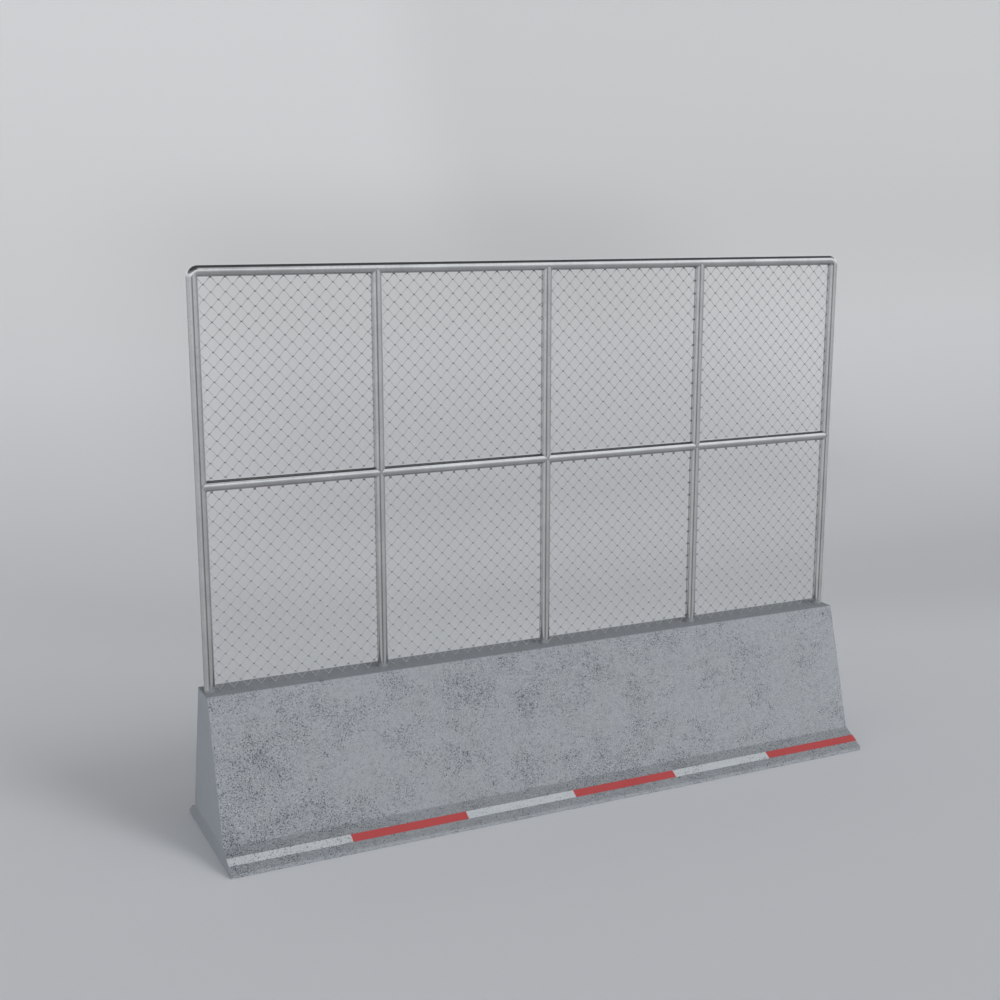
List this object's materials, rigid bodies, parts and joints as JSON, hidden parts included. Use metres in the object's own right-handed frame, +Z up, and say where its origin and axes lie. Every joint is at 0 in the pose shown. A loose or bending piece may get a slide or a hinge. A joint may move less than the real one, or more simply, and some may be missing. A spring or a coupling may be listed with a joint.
{
  "type": "road safety barrier with catch fence",
  "caption": "Precast concrete barrier block with a flared foot and marking strips, carrying a fence of steel tube and chain-link mesh on its ledge.",
  "frame": {"origin": "middle of the block's base, on the floor", "axes": "+X along the barrier to the right as seen from the front, -Y towards the front, +Z up"},
  "size_m": [4, 0.898, 3.0375],
  "materials": {
    "concrete": "matt, pitted concrete",
    "galvanised_steel": "galvanised, satin",
    "mesh_wire": "galvanised wire, dull",
    "white_marking": "worn white marking strip",
    "red_marking": "red marking strip"
  },
  "bodies": {
    "root": {"concrete_block": "concrete", "end_post_left": "galvanised_steel", "end_post_right": "galvanised_steel", "inner_post_1": "galvanised_steel", "inner_post_2": "galvanised_steel", "inner_post_3": "galvanised_steel", "top_rail": "galvanised_steel", "corner_left": "galvanised_steel", "corner_right": "galvanised_steel", "mid_rail_1": "galvanised_steel", "mid_rail_2": "galvanised_steel", "mid_rail_3": "galvanised_steel", "mid_rail_4": "galvanised_steel", "mesh_upper_1": "mesh_wire", "mesh_upper_2": "mesh_wire", "mesh_upper_3": "mesh_wire", "mesh_upper_4": "mesh_wire", "mesh_lower_1": "mesh_wire", "mesh_lower_2": "mesh_wire", "mesh_lower_3": "mesh_wire", "mesh_lower_4": "mesh_wire", "strip_front_1": "white_marking", "strip_front_2": "red_marking", "strip_front_3": "white_marking", "strip_front_4": "red_marking", "strip_front_5": "white_marking", "strip_front_6": "red_marking", "strip_back_1": "white_marking", "strip_back_2": "red_marking", "strip_back_3": "white_marking", "strip_back_4": "red_marking", "strip_back_5": "white_marking", "strip_back_6": "red_marking"}
  },
  "joints": []
}
